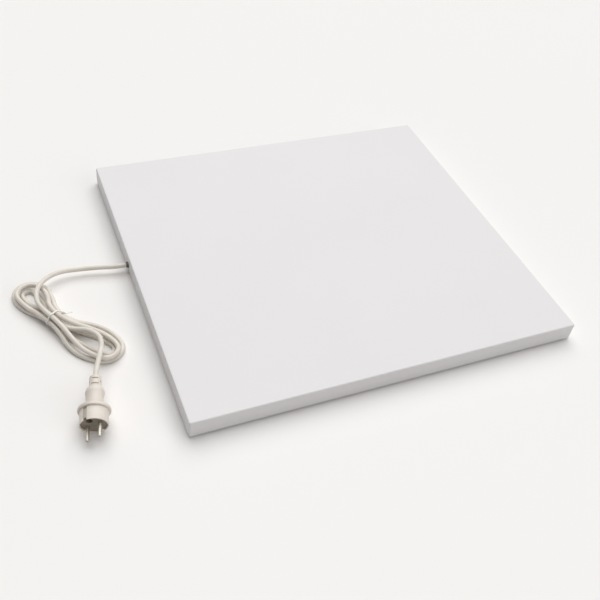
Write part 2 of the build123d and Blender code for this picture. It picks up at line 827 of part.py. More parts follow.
with BuildPart() as core_earth:
    core_earth_route = core_route(cord_y + core_spread, core_low_z, earth_pole_y)
    with BuildLine() as core_line:
        FilletPolyline(*core_earth_route, radius=held_radii(core_earth_route))
    with BuildSketch(Plane(origin=core_line.line @ 0, z_dir=core_line.line % 0)):
        Circle(wire_radius)
    sweep()
    with BuildSketch(Plane.YZ.offset(block_left)):
        with Locations((earth_pole_y, wire_z)):
            Circle(conductor_radius)
    extrude(amount=conductor_length)
core_earth.part.label = "core_earth"
export_step(core_earth.part, "parts/core_earth.step")

with BuildPart() as core_live:
    core_live_route = core_route(cord_y, core_high_z, live_y)
    with BuildLine() as core_line:
        FilletPolyline(*core_live_route, radius=held_radii(core_live_route))
    with BuildSketch(Plane(origin=core_line.line @ 0, z_dir=core_line.line % 0)):
        Circle(wire_radius)
    sweep()
    with BuildSketch(Plane.YZ.offset(block_left)):
        with Locations((live_y, wire_z)):
            Circle(conductor_radius)
    extrude(amount=conductor_length)
core_live.part.label = "core_live"
export_step(core_live.part, "parts/core_live.step")

with BuildPart() as live_wire:
    with BuildSketch(Plane.YZ.offset(block_right)):
        with Locations((live_y, wire_z)):
            Circle(wire_radius)
    extrude(amount=limiter_x - blade_offset - blade_thickness / 2 - block_right)
    with BuildSketch(Plane.YZ.offset(block_right)):
        with Locations((live_y, wire_z)):
            Circle(conductor_radius)
    extrude(amount=-conductor_length)
live_wire.part.label = "live_wire"
export_step(live_wire.part, "parts/live_wire.step")

limiter_route = [
    (limiter_x + blade_offset + blade_thickness / 2, live_y, wire_z),
    (return_x, live_y, wire_z),
    (return_x, return_y, wire_z),
    (track_terminal_x, return_y, wire_z),
    (track_terminal_x, track_span_y / 2, wire_z),
    (track_terminal_x, track_span_y / 2, terminal_pin_bottom),
]
with BuildPart() as limiter_wire:
    with BuildLine() as limiter_line:
        FilletPolyline(*limiter_route, radius=held_radii(limiter_route))
    with BuildSketch(Plane(origin=limiter_line.line @ 0, z_dir=limiter_line.line % 0)):
        Circle(wire_radius)
    sweep()
limiter_wire.part.label = "limiter_wire"
export_step(limiter_wire.part, "parts/limiter_wire.step")

neutral_route = [
    (block_right, neutral_y, wire_z),
    (track_terminal_x, neutral_y, wire_z),
    (track_terminal_x, -track_span_y / 2, wire_z),
    (track_terminal_x, -track_span_y / 2, terminal_pin_bottom),
]
with BuildPart() as neutral_wire:
    with BuildLine() as neutral_line:
        FilletPolyline(*neutral_route, radius=held_radii(neutral_route))
    with BuildSketch(Plane(origin=neutral_line.line @ 0, z_dir=neutral_line.line % 0)):
        Circle(wire_radius)
    sweep()
    with BuildSketch(Plane.YZ.offset(block_right)):
        with Locations((neutral_y, wire_z)):
            Circle(conductor_radius)
    extrude(amount=-conductor_length)
neutral_wire.part.label = "neutral_wire"
export_step(neutral_wire.part, "parts/neutral_wire.step")

ring_axis_z = flange_top + ring_barrel_radius
barrel_end_x = earth_x + ring_radius + ring_barrel_length
earth_route = [
    (block_right, earth_pole_y, wire_z),
    (earth_lane_x, earth_pole_y, wire_z),
    (earth_lane_x, earth_y, wire_z),
    (earth_lane_x - earth_high_run, earth_y, wire_z),
    (barrel_end_x + earth_low_run, earth_y, ring_axis_z),
    (barrel_end_x, earth_y, ring_axis_z),
]
with BuildPart() as earth_wire:
    with BuildLine() as earth_line:
        FilletPolyline(*earth_route, radius=held_radii(earth_route))
    with BuildSketch(Plane(origin=earth_line.line @ 0, z_dir=earth_line.line % 0)):
        Circle(wire_radius)
    sweep()
    with BuildSketch(Plane.YZ.offset(block_right)):
        with Locations((earth_pole_y, wire_z)):
            Circle(conductor_radius)
    extrude(amount=-conductor_length)
earth_wire.part.label = "earth_wire"
export_step(earth_wire.part, "parts/earth_wire.step")

with BuildPart() as earth_stud:
    with BuildSketch(Plane.XY.offset(flange_top)):
        with Locations((earth_x, earth_y)):
            Circle(stud_radius)
    extrude(amount=stud_height)
earth_stud.part.label = "earth_stud"
export_step(earth_stud.part, "parts/earth_stud.step")

with BuildPart() as earth_ring:
    with BuildSketch(Plane.XY.offset(flange_top)):
        with Locations((earth_x, earth_y)):
            Circle(ring_radius)
        with Locations((earth_x, earth_y)):
            Rectangle(
                ring_radius + ring_neck, 2 * ring_barrel_radius, align=(Align.MIN, Align.CENTER)
            )
        with Locations((earth_x, earth_y)):
            Circle(stud_radius + ring_fit, mode=Mode.SUBTRACT)
    extrude(amount=ring_thickness)
    with BuildSketch(Plane.YZ.offset(barrel_end_x)):
        with Locations((earth_y, ring_axis_z)):
            Circle(ring_barrel_radius)
    extrude(amount=-ring_barrel_length)
earth_ring.part.label = "earth_ring"
export_step(earth_ring.part, "parts/earth_ring.step")

with BuildPart() as earth_nut:
    with BuildSketch(Plane.XY.offset(flange_top + ring_thickness)):
        with Locations((earth_x, earth_y)):
            RegularPolygon(earth_nut_size / 2, 6, major_radius=False)
            Circle(stud_radius + ring_fit, mode=Mode.SUBTRACT)
    extrude(amount=earth_nut_height)
earth_nut.part.label = "earth_nut"
export_step(earth_nut.part, "parts/earth_nut.step")

# ---------------------------------------------------------------- cord entry

with BuildPart() as cord_bush:
    with BuildSketch(Plane.XZ.offset(-cord_y)):
        with BuildLine():
            Polyline(
                (wall_x - entry_nose, cord_z + cord_radius + entry_bore_fit),
                (wall_x - entry_nose, cord_z + entry_nose_radius),
                (wall_x - entry_lip, cord_z + entry_lip_radius),
                (wall_x, cord_z + entry_lip_radius),
                (wall_x, cord_z + entry_barrel_radius),
                (wall_x + sheet, cord_z + entry_barrel_radius),
                (wall_x + sheet, cord_z + entry_flange_radius),
                (wall_x + sheet + entry_flange, cord_z + entry_flange_radius),
                (wall_x + sheet + entry_flange, cord_z + entry_barrel_radius),
                (wall_x + entry_barrel, cord_z + entry_barrel_radius),
                (wall_x + entry_barrel, cord_z + cord_radius + entry_bore_fit),
                close=True,
            )
        make_face()
    revolve(axis=Axis((0, cord_y, cord_z), (1, 0, 0)))
cord_bush.part.label = "cord_bush"
export_step(cord_bush.part, "parts/cord_bush.step")

with BuildPart() as cord_inner:
    with BuildSketch(Plane.YZ.offset(wall_x)):
        with Locations((cord_y, cord_z)):
            Circle(cord_radius)
    extrude(amount=sheath_end_x - wall_x)
cord_inner.part.label = "cord_inner"
export_step(cord_inner.part, "parts/cord_inner.step")

# ---------------------------------------------------------------- hank

cord_diameter = 2 * cord_radius
waist_z = cord_radius + tie_clearance + tie_thickness
tie_centre = Vector(tie_x, tie_y, 0)


def heading(degrees):
    """Unit vector on the floor, degrees counted from +X towards +Y."""
    return Vector(math.cos(math.radians(degrees)), math.sin(math.radians(degrees)), 0)


waist_along = heading(waist_heading)
waist_across = heading(waist_heading + 90)

# Places of the strands under the tie, in the order in which the cord takes them: steps
# across the waist and layers up. The first strand and every other one after it run to the
# far lobe, and those between them come back.
waist_slots = [(-0.4, 2), (0.62, 2), (-1.0, 1), (1.7, 0.7), (-0.6, 0), (0.62, 0), (0.1, 1)]


def waist_station(strand):
    """Point and direction of a strand as it passes under the tie."""
    across, layer = waist_slots[strand]
    point = tie_centre + waist_across * (across * waist_step)
    point += Vector(0, 0, waist_z + layer * strand_rise)
    direction = waist_along if strand % 2 == 0 else -waist_along
    return point, direction


def lobe_stations(lobe_heading, reach, half_width, layer, fullness):
    """Points and directions where a turn swings out, passes the lobe's end and swings in."""
    along = heading(lobe_heading)
    across = heading(lobe_heading + 90)
    middle = tie_centre + Vector(0, 0, cord_radius + layer * strand_rise)
    shoulder = reach - fullness * half_width
    return [
        (middle + along * shoulder - across * half_width, along),
        (middle + along * reach, across),
        (middle + along * shoulder + across * half_width, -along),
    ]


start_point, start_direction = waist_station(0)
hank_start = start_point - start_direction * hank_end
hank_stations = [(hank_start, start_direction), (start_point, start_direction)]
for turn, (far_turn, near_turn) in enumerate(zip(far_turns, near_turns)):
    hank_stations += lobe_stations(*far_turn, far_fullness)
    hank_stations.append(waist_station(2 * turn + 1))
    hank_stations += lobe_stations(*near_turn, near_fullness)
    hank_stations.append(waist_station(2 * turn + 2))
end_point, end_direction = hank_stations[-1]
hank_finish = end_point + end_direction * hank_end
hank_stations.append((hank_finish, end_direction))


def biarc_joint(start, start_heading, end, end_heading):
    """Where the two arcs of a biarc with equal tangent lengths meet."""
    chord = end - start
    both = start_heading + end_heading
    apart = 2 * (1 - start_heading.dot(end_heading))
    if apart < 1e-9:
        length = chord.dot(chord) / (4 * chord.dot(end_heading))
    else:
        lean = chord.dot(both)
        length = (math.sqrt(lean**2 + apart * chord.dot(chord)) - lean) / apart
    return (start + end + (start_heading - end_heading) * length) * 0.5


with BuildPart() as cord_hank:
    with BuildLine() as hank_line:
        Line(hank_stations[0][0], hank_stations[1][0])
        for (start, start_heading), (end, end_heading) in zip(hank_stations[1:-2], hank_stations[2:-1]):
            joint = biarc_joint(start, start_heading, end, end_heading)
            first_arc = TangentArc(start, joint, tangent=start_heading)
            TangentArc(joint, end, tangent=first_arc % 1)
        Line(hank_stations[-2][0], hank_stations[-1][0])
    with BuildSketch(Plane(origin=hank_line.line @ 0, z_dir=hank_line.line % 0)):
        Circle(cord_radius)
    sweep()
cord_hank.part.label = "cord_hank"
export_step(cord_hank.part, "parts/cord_hank.step")
hank_wire = hank_line.wires()[0]
report_tube("cord_hank", cord_hank, hank_wire, cord_radius)

# Least gap of the hank to itself, on points about a millimetre apart
hank_length = hank_wire.length
sample_count = int(hank_length)
samples = [
    tuple(hank_wire.position_at(index / sample_count)) for index in range(sample_count + 1)
]
neighbour_skip = int(4 * cord_diameter)
least = min(
    math.dist(samples[one], samples[other])
    for one in range(sample_count)
    for other in range(one + neighbour_skip, sample_count + 1)
)
print("cord_hank least gap to itself", round(least - cord_diameter, 2))

with BuildPart() as cord_tie:
    tie_plane = Plane(origin=tie_centre, x_dir=waist_across, z_dir=waist_along)
    tie_slots = [(across * waist_step, waist_z + layer * strand_rise) for across, layer in waist_slots]
    with BuildSketch(tie_plane):
        with Locations(*tie_slots):
            Circle(cord_radius + tie_clearance + tie_thickness)
        make_hull()
    extrude(amount=tie_width / 2, both=True)
    with BuildSketch(tie_plane):
        with Locations(*tie_slots):
            Circle(cord_radius + tie_clearance)
        make_hull()
    extrude(amount=tie_width / 2, both=True, mode=Mode.SUBTRACT)
    # The ends of the tie are pressed into a flat ear beside the outermost strand
    ear_out, ear_z = max(tie_slots)
    ear_root = (
        tie_centre
        + waist_across * (ear_out + cord_radius + tie_clearance + tie_thickness)
        + Vector(0, 0, ear_z)
    )
    ear_across = heading(tie_ear_heading + 90)
    with BuildSketch(Plane(origin=ear_root, x_dir=ear_across, z_dir=heading(tie_ear_heading))):
        RectangleRounded(tie_ear_width, tie_ear_thickness, tie_ear_thickness / 3)
    extrude(amount=tie_ear_length)
cord_tie.part.label = "cord_tie"
export_step(cord_tie.part, "parts/cord_tie.step")

# ---------------------------------------------------------------- plug

tilt = math.radians(plug_tilt)
plug_axis = heading(plug_heading) * math.cos(tilt) - Vector(0, 0, math.sin(tilt))
plug_side = plug_axis.cross(Vector(0, 0, 1)).normalized()
plug_up = plug_side.cross(plug_axis)
roll = math.radians(plug_roll)
pin_line = plug_side * math.cos(roll) + plug_up * math.sin(roll)
# The plug lies on the front rim of its flange
plug_face_z = plug_flange_radius * math.cos(tilt) - plug_body_length * math.sin(tilt)
plug_face = Vector(plug_face_x, plug_face_y, plug_face_z)
plug_plane = Plane(origin=plug_face, x_dir=pin_line, z_dir=plug_axis)
plug_profile_plane = Plane(origin=plug_face, x_dir=pin_line, z_dir=pin_line.cross(plug_axis))
plug_rear = plug_face - plug_axis * plug_length
pin_points = [(-pin_spacing / 2, 0), (pin_spacing / 2, 0)]
flange_rear = plug_body_length + plug_flange
slot_middle = (plug_body_radius + earth_slot_floor) / 2

with BuildPart() as plug_grip:
    with BuildSketch(plug_profile_plane):
        with BuildLine():
            Line((0, 0), (0, -plug_length))
            Line((0, -plug_length), (relief_end_radius, -plug_length))
            Line((relief_end_radius, -plug_length), (relief_radius, -grip_end))
            TangentArc(
                (grip_crown_radius, -grip_crown), (relief_radius, -grip_end), tangent=(0, -1)
            )
            ThreePointArc(
                (grip_crown_radius, -grip_crown),
                (grip_neck_radius, -grip_neck),
                (grip_root_radius, -flange_rear),
            )
            Line((grip_root_radius, -flange_rear), (plug_flange_radius, -flange_rear))
            Line((plug_flange_radius, -flange_rear), (plug_flange_radius, -plug_body_length))
            Line((plug_flange_radius, -plug_body_length), (plug_body_radius, -plug_body_length))
            Line((plug_body_radius, -plug_body_length), (plug_body_radius, 0))
            Line((plug_body_radius, 0), (0, 0))
        make_face()
    revolve(axis=Axis(plug_face, plug_axis))
    fillet(
        plug_grip.edges()
        .filter_by(GeomType.CIRCLE)
        .filter_by(lambda edge: abs(edge.radius - plug_flange_radius) < 0.01),
        radius=plug_flange_round,
    )
    with BuildSketch(plug_plane):
        Circle(plug_body_radius - plug_rim)
        with Locations((0, slot_middle), (0, -slot_middle)):
            Rectangle(earth_slot_width, plug_body_radius - earth_slot_floor + rim_overcut)
    extrude(amount=-plug_body_length, mode=Mode.SUBTRACT)
    for place, slot_floor, turn in relief_slots:
        slot_origin = plug_face - plug_axis * place
        for angle in (math.radians(turn), math.radians(turn + 180)):
            outward = plug_up * math.cos(angle) + plug_side * math.sin(angle)
            with BuildSketch(Plane(origin=slot_origin, x_dir=outward, z_dir=plug_axis)):
                with Locations((slot_floor, 0)):
                    Rectangle(
                        relief_slot_height, relief_slot_width, align=(Align.MIN, Align.CENTER)
                    )
            extrude(amount=-relief_slot_length, mode=Mode.SUBTRACT)
plug_grip.part.label = "plug_grip"
export_step(plug_grip.part, "parts/plug_grip.step")

socket_point = (0, earth_socket_offset)
with BuildPart() as plug_bridge:
    with BuildSketch(plug_plane.offset(-bridge_recess)):
        Circle(plug_body_radius - plug_rim - bridge_fit)
        with Locations((0, slot_middle), (0, -slot_middle)):
            Rectangle(
                earth_slot_width,
                plug_body_radius - earth_slot_floor + rim_overcut,
                mode=Mode.SUBTRACT,
            )
        with Locations(*pin_points):
            Circle(pin_radius + pin_fit, mode=Mode.SUBTRACT)
        with Locations(socket_point):
            Circle(earth_socket_radius + pin_fit, mode=Mode.SUBTRACT)
    extrude(amount=-bridge_length)
    with BuildSketch(plug_plane.offset(-bridge_recess)):
        with Locations(socket_point):
            Circle(socket_recess_radius)
    extrude(amount=-socket_recess_depth, mode=Mode.SUBTRACT)
plug_bridge.part.label = "plug_bridge"
export_step(plug_bridge.part, "parts/plug_bridge.step")

with BuildPart() as plug_pins:
    with BuildSketch(plug_plane.offset(-pin_root)):
        with Locations(*pin_points):
            Circle(pin_radius)
    extrude(amount=pin_root + pin_length)
    fillet(
        plug_pins.edges().filter_by(GeomType.CIRCLE).sort_by(Axis(plug_face, plug_axis))[-2:],
        radius=pin_tip_round,
    )
plug_pins.part.label = "plug_pins"
export_step(plug_pins.part, "parts/plug_pins.step")

with BuildPart() as plug_earth_socket:
    with BuildSketch(plug_plane.offset(-bridge_recess - socket_recess_depth)):
        with Locations(socket_point):
            Circle(earth_socket_radius)
            Circle(earth_socket_bore, mode=Mode.SUBTRACT)
    extrude(amount=-earth_socket_length)
plug_earth_socket.part.label = "plug_earth_socket"
export_step(plug_earth_socket.part, "parts/plug_earth_socket.step")

strip_reach = earth_slot_floor + earth_strip_thickness
with BuildPart() as plug_earth_strip:
    with BuildSketch(plug_plane.offset(-plug_body_length)):
        Rectangle(earth_strip_width, 2 * strip_reach)
    extrude(amount=earth_strip_thickness)
    with BuildSketch(plug_plane.offset(-plug_body_length)):
        for side in (-1, 1):
            with Locations((0, side * (earth_slot_floor + earth_strip_thickness / 2))):
                Rectangle(earth_strip_width, earth_strip_thickness)
    extrude(amount=plug_body_length - bridge_recess - strip_set_back)
plug_earth_strip.part.label = "plug_earth_strip"
export_step(plug_earth_strip.part, "parts/plug_earth_strip.step")

# ---------------------------------------------------------------- free stretches of the cord

lead_route = [
    Vector(wall_x, cord_y, cord_z),
    Vector(wall_x - 20, cord_y, cord_z),
    Vector(wall_x - 40, cord_y + 6, 12),
    Vector(wall_x - 72, cord_y + 10.5, 11.7),
    Vector(wall_x - 102, cord_y + 10.5, 14),
    Vector(tie_x, 43.5, 18.5),
    Vector(tie_x - 13.5, 24, 21.5),
    Vector(tie_x - 17.5, 4, 21.5),
    hank_start - waist_along * lead_last_run,
    hank_start,
]
with BuildPart() as cord_lead:
    with BuildLine() as lead_line:
        FilletPolyline(*lead_route, radius=free_radii(lead_route))
    with BuildSketch(Plane(origin=lead_line.line @ 0, z_dir=lead_line.line % 0)):
        Circle(cord_radius)
    sweep()
cord_lead.part.label = "cord_lead"
export_step(cord_lead.part, "parts/cord_lead.step")
lead_wire = lead_line.wires()[0]
report_tube("cord_lead", cord_lead, lead_wire, cord_radius)
print("cord_lead radii", [round(radius) for radius in free_radii(lead_route)])

tail_route = [
    hank_finish,
    hank_finish + waist_along * tail_first_run,
    Vector(wall_x - 100.7, -62.7, 14.8),
    Vector(wall_x - 85.5, -71.5, 19.5),
    Vector(wall_x - 73, -88, 22.5),
    Vector(wall_x - 72, -106, 24),
    Vector(wall_x - 78, -123, 25),
    Vector(wall_x - 85, -140.5, 25.5),
    plug_rear - plug_axis * tail_last_run,
    plug_rear,
]
with BuildPart() as cord_tail:
    with BuildLine() as tail_line:
        FilletPolyline(*tail_route, radius=free_radii(tail_route))
    with BuildSketch(Plane(origin=tail_line.line @ 0, z_dir=tail_line.line % 0)):
        Circle(cord_radius)
    sweep()
cord_tail.part.label = "cord_tail"
export_step(cord_tail.part, "parts/cord_tail.step")
tail_wire = tail_line.wires()[0]
report_tube("cord_tail", cord_tail, tail_wire, cord_radius)
print("cord_tail radii", [round(radius) for radius in free_radii(tail_route)])
print("whole cord", round(lead_wire.length + hank_length + tail_wire.length))
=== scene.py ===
import math

import bmesh
import bpy
from mathutils import Matrix, Vector


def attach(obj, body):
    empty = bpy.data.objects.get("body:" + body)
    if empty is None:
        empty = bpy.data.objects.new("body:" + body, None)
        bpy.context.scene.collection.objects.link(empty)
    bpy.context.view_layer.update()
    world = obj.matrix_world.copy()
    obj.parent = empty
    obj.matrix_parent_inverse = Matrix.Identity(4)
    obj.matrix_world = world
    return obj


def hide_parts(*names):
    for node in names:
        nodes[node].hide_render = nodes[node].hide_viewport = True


# A white infrared panel heater that lies on its back, with its ivory mains lead tied in a
# hank beside it. Metres, in the frame of the CAD model: X along the front edge, Y to the
# back, Z up, the origin on the floor under the middle of the panel.

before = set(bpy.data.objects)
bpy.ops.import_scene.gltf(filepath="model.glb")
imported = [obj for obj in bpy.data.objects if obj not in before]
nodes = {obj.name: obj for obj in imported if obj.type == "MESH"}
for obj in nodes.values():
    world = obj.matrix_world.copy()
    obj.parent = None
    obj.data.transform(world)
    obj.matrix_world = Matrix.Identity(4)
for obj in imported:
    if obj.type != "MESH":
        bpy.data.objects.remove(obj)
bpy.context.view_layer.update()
scene = bpy.context.scene


# ------------------------------------------------------------------ camera

# Fitted to the corners of the panel and to the plug.
lens_mm = 47.366
sensor_mm = 36.0
camera_place = Vector((-0.47266, -0.83524, 0.84947))
camera_right = Vector((0.92132469, -0.37355814, 0.10777352))
camera_up = Vector((0.19623502, 0.68609533, 0.70054623))


def place_camera():
    """A normal lens in front of the near left corner and above it, turned a little."""
    camera = bpy.data.objects.new("camera", bpy.data.cameras.new("camera"))
    camera.data.lens = lens_mm
    camera.data.sensor_width = sensor_mm
    camera.data.clip_start = 0.05
    camera_back = camera_right.cross(camera_up)
    turned = Matrix((camera_right, camera_up, camera_back)).transposed().to_4x4()
    camera.matrix_world = Matrix.Translation(camera_place) @ turned
    scene.collection.objects.link(camera)
    scene.camera = camera


# ------------------------------------------------------------------ shader maths

class Value:
    """A socket that can be used in a Python sum, which then adds the Math nodes."""

    def __init__(self, owner, socket):
        self.owner = owner
        self.socket = socket

    def _math(self, operation, first, second):
        return self.owner.add("ShaderNodeMath", {"operation": operation}, {0: first, 1: second})

    def __add__(self, other):
        return self._math("ADD", self, other)

    def __radd__(self, other):
        return self._math("ADD", other, self)

    def __mul__(self, other):
        return self._math("MULTIPLY", self, other)

    def __rmul__(self, other):
        return self._math("MULTIPLY", other, self)

    def __gt__(self, other):
        return self._math("GREATER_THAN", self, other)

    def __lt__(self, other):
        return self._math("LESS_THAN", self, other)


class Nodes:
    """The nodes of one material or world."""

    def __init__(self, tree):
        self.tree = tree

    def add(self, kind, settings=None, inputs=None, output=0):
        """Any node: its settings first, then the values or links of its sockets."""
        made = self.tree.nodes.new(kind)
        for key, value in (settings or {}).items():
            setattr(made, key, value)
        for key, value in (inputs or {}).items():
            if isinstance(value, Value):
                self.tree.links.new(value.socket, made.inputs[key])
            else:
                made.inputs[key].default_value = value
        return Value(self, made.outputs[output])


class Paint(Nodes):
    """One finish: a Principled surface, its fixed sockets and the nodes that vary it."""

    def __init__(self, name, **fixed):
        self.material = bpy.data.materials.new(name)
        self.material.use_nodes = True
        super().__init__(self.material.node_tree)
        self.surface = self.tree.nodes["Principled BSDF"]
        for socket, value in fixed.items():
            self.surface.inputs[socket.replace("_", " ")].default_value = value
        self.place = self.add("ShaderNodeTexCoord", output="Object")

    def noise(self, scale, detail, roughness=0.5, place=None):
        """Soft random values from 0 to 1, about 1 / scale metres across."""
        return self.add(
            "ShaderNodeTexNoise",
            {"noise_dimensions": "3D"},
            {"Vector": place or self.place, "Scale": scale, "Detail": detail, "Roughness": roughness},
        )

    def stretched(self, x, y, z):
        """Object coordinates multiplied along each axis, for grain with a direction."""
        return self.add(
            "ShaderNodeMapping", {"vector_type": "POINT"}, {"Vector": self.place, "Scale": (x, y, z)}
        )

    def band(self, value, low, high):
        """0 below low, 1 above high, smooth in between."""
        return self.add(
            "ShaderNodeMapRange",
            {"interpolation_type": "SMOOTHSTEP"},
            {"Value": value, "From Min": low, "From Max": high},
        )

    def mix(self, share, first, second):
        """One colour where share is 0 and the other where it is 1."""
        # Inputs 6 and 7 and output 2 of a Mix node are its colours.
        return self.add(
            "ShaderNodeMix", {"data_type": "RGBA"}, {0: share, 6: first, 7: second}, output=2
        )

    def set(self, socket, value):
        """Links a varying value to one of the surface's sockets."""
        self.tree.links.new(value.socket, self.surface.inputs[socket])

    def bump(self, height, depth):
        """Relief, with its depth in metres."""
        self.set("Normal", self.add("ShaderNodeBump", inputs={"Height": height, "Distance": depth}))


def tone(red, green, blue):
    """A colour by its levels on a screen, 0 to 255, as linear light."""
    screen = (red / 255, green / 255, blue / 255)
    linear = [level / 12.92 if level < 0.04045 else ((level + 0.055) / 1.055) ** 2.4 for level in screen]
    return (*linear, 1.0)


# ------------------------------------------------------------------ finishes

def speckled(name, dark, light, roughness, grain, depth):
    """A moulded, fired or drawn surface: faint clouds, fine grain and uneven gloss.

    The grain is counted per metre, and its depth is in metres.
    """
    paint = Paint(name)
    clouds = paint.noise(14.0, 3.0)
    fine = paint.noise(grain, 4.0, 0.6)
    paint.set("Base Color", paint.mix(paint.band(0.7 * clouds + 0.3 * fine, 0.25, 0.75), dark, light))
    paint.set("Roughness", roughness - 0.06 + 0.12 * clouds)
    paint.bump(fine, depth)
    return paint.material


def brushed(name, dark, light, roughness, along):
    """Rolled, drawn or plated metal: streaks along one axis over faint clouds."""
    paint = Paint(name, Metallic=1.0)
    stretch = {"X": (0.05, 1, 1), "Y": (1, 0.05, 1), "Z": (1, 1, 0.05)}[along]
    streaks = paint.noise(1400.0, 3.0, 0.6, paint.stretched(*stretch))
    clouds = paint.noise(60.0, 2.0)
    paint.set("Base Color", paint.mix(paint.band(0.6 * streaks + 0.4 * clouds, 0.3, 0.7), dark, light))
    paint.set("Roughness", roughness - 0.08 + 0.16 * streaks)
    paint.bump(streaks, depth=0.00002)
    return paint.material


def powder_coat():
    """Satin white powder coat: fine orange peel, and a touch of dust in its broad clouds."""
    paint = Paint("powder_coat", Coat_Roughness=0.35, IOR=1.5)
    peel = paint.noise(620.0, 2.0, 0.55)
    grain = paint.noise(2600.0, 2.0, 0.6)
    clouds = paint.noise(5.0, 3.0)
    patches = paint.band(clouds, 0.3, 0.7)
    paint.set("Base Color", paint.mix(patches, tone(217, 215, 215), tone(219, 217, 217)))
    paint.set("Roughness", 0.42 + 0.08 * clouds + 0.05 * grain)
    paint.set("Coat Weight", 0.06 + 0.08 * clouds)
    paint.bump(0.7 * peel + 0.3 * grain, depth=0.00006)
    return paint.material


def rear_coat():
    """Thin white coat on the rear sheet, with dust and faint handling marks."""
    paint = Paint("rear_coat")
    peel = paint.noise(700.0, 3.0, 0.6)
    dust = paint.noise(9.0, 5.0, 0.65)
    smears = paint.noise(30.0, 4.0, 0.7, paint.stretched(0.25, 1.0, 1.0))
    shade = paint.band(0.6 * dust + 0.4 * smears, 0.35, 0.75)
    paint.set("Base Color", paint.mix(shade, tone(221, 220, 218), tone(212, 211, 208)))
    paint.set("Roughness", 0.5 + 0.18 * dust)
    paint.bump(peel, depth=0.00008)
    return paint.material


def ivory_sheath():
    """Flexible ivory sheath: satin, with rub marks and faint yellowing in clouds."""
    paint = Paint("ivory_sheath", IOR=1.48)
    clouds = paint.noise(45.0, 3.0)
    rub = paint.noise(260.0, 4.0, 0.65)
    fine = paint.noise(1800.0, 2.0)
    patches = paint.band(clouds, 0.3, 0.7)
    paint.set("Base Color", paint.mix(patches, tone(216, 209, 199), tone(224, 218, 208)))
    paint.set("Roughness", 0.38 + 0.16 * rub)
    paint.bump(0.6 * fine + 0.4 * rub, depth=0.00004)
    return paint.material


def ivory_moulding():
    """Moulded ivory plug body: fine spark texture and slightly polished high spots."""
    paint = Paint("ivory_moulding", IOR=1.5)
    clouds = paint.noise(60.0, 3.0)
    spark = paint.noise(3200.0, 3.0, 0.6)
    patches = paint.band(clouds, 0.3, 0.7)
    paint.set("Base Color", paint.mix(patches, tone(216, 208, 198), tone(224, 216, 206)))
    paint.set("Roughness", 0.4 + 0.12 * clouds)
    paint.bump(spark, depth=0.00004)
    return paint.material


def taupe_insert_painted_shade():
    """Harder dark taupe insert that holds the pins; its dark colour is partly the plastic's own and partly
    painted shade of the recessed face.
    """
    paint = Paint("taupe_insert_painted_shade", IOR=1.5)
    clouds = paint.noise(80.0, 3.0)
    spark = paint.noise(2600.0, 3.0, 0.6)
    patches = paint.band(clouds, 0.3, 0.7)
    # Painted shade: these dark tones stand in part for the shade that falls on the recessed face around the
    # pins.
    paint.set("Base Color", paint.mix(patches, tone(120, 111, 98), tone(136, 126, 112)))
    paint.set("Roughness", 0.45 + 0.14 * clouds)
    paint.bump(spark, depth=0.00005)
    return paint.material


def nickel_pins():
    """Nickel plate with lengthwise scratches from sockets."""
    paint = Paint("nickel_pins", Metallic=1.0)
    scratches = paint.noise(2200.0, 3.0, 0.6, paint.stretched(1.0, 0.08, 1.0))
    clouds = paint.noise(160.0, 2.0)
    paint.set("Base Color", paint.mix(clouds, tone(160, 154, 144), tone(178, 172, 162)))
    paint.set("Roughness", 0.36 + 0.16 * scratches)
    paint.bump(scratches, depth=0.00003)
    return paint.material


def mineral_board():
    """Pressed mineral fibre: matted strands along two axes."""
    paint = Paint("mineral_board")
    strands = paint.noise(500.0, 5.0, 0.7, paint.stretched(0.3, 1.0, 1.0))
    cross = paint.noise(500.0, 5.0, 0.7, paint.stretched(1.0, 0.3, 1.0))
    clouds = paint.noise(20.0, 3.0)
    mat = 0.4 * strands + 0.4 * cross + 0.2 * clouds
    paint.set("Base Color", paint.mix(paint.band(mat, 0.35, 0.65), tone(188, 181, 158), tone(215, 209, 191)))
    paint.set("Roughness", 0.85 + 0.1 * strands)
    paint.bump(mat, depth=0.0005)
    return paint.material


def green_yellow():
    """Green insulation with slanting yellow stripes."""
    paint = Paint("green_yellow", Roughness=0.4)
    stripes = paint.add(
        "ShaderNodeTexWave",
        {"wave_type": "BANDS", "bands_direction": "DIAGONAL"},
        {"Vector": paint.place, "Scale": 60.0},
        output="Fac",
    )
    paint.set("Base Color", paint.mix(stripes > 0.55, tone(89, 153, 69), tone(218, 203, 63)))
    paint.bump(paint.noise(900.0, 2.0), depth=0.00003)
    return paint.material


# ------------------------------------------------------------------ CAD pieces

def dress(material, *names):
    """Gives CAD nodes a finish."""
    for name in names:
        slots = nodes[name].data.materials
        slots.clear()
        slots.append(material)


def dress_housing():
    """The tray, the pieces on its rear and all the zinc-plated fasteners."""
    dress(powder_coat(), "front_panel")
    dress(rear_coat(), "rear_cover", "access_plate")
    dress(speckled("pad_rubber", tone(63, 63, 63), tone(85, 85, 84), 0.75, 1200.0, 0.0001), "rear_pads")
    dress(brushed("galvanised", tone(173, 175, 177), tone(203, 205, 206), 0.42, "Y"), "stiffening_rails")
    dress(brushed("yellow_zinc", tone(188, 181, 158), tone(212, 206, 188), 0.36, "Z"), "rivet_nuts")
    zinc = brushed("zinc_plate", tone(179, 179, 177), tone(206, 206, 203), 0.38, "X")
    dress(zinc, "cover_screws", "plate_screws", "clamp_screws", "block_screws", "terminal_screws")
    dress(zinc, "earth_stud", "earth_nut")


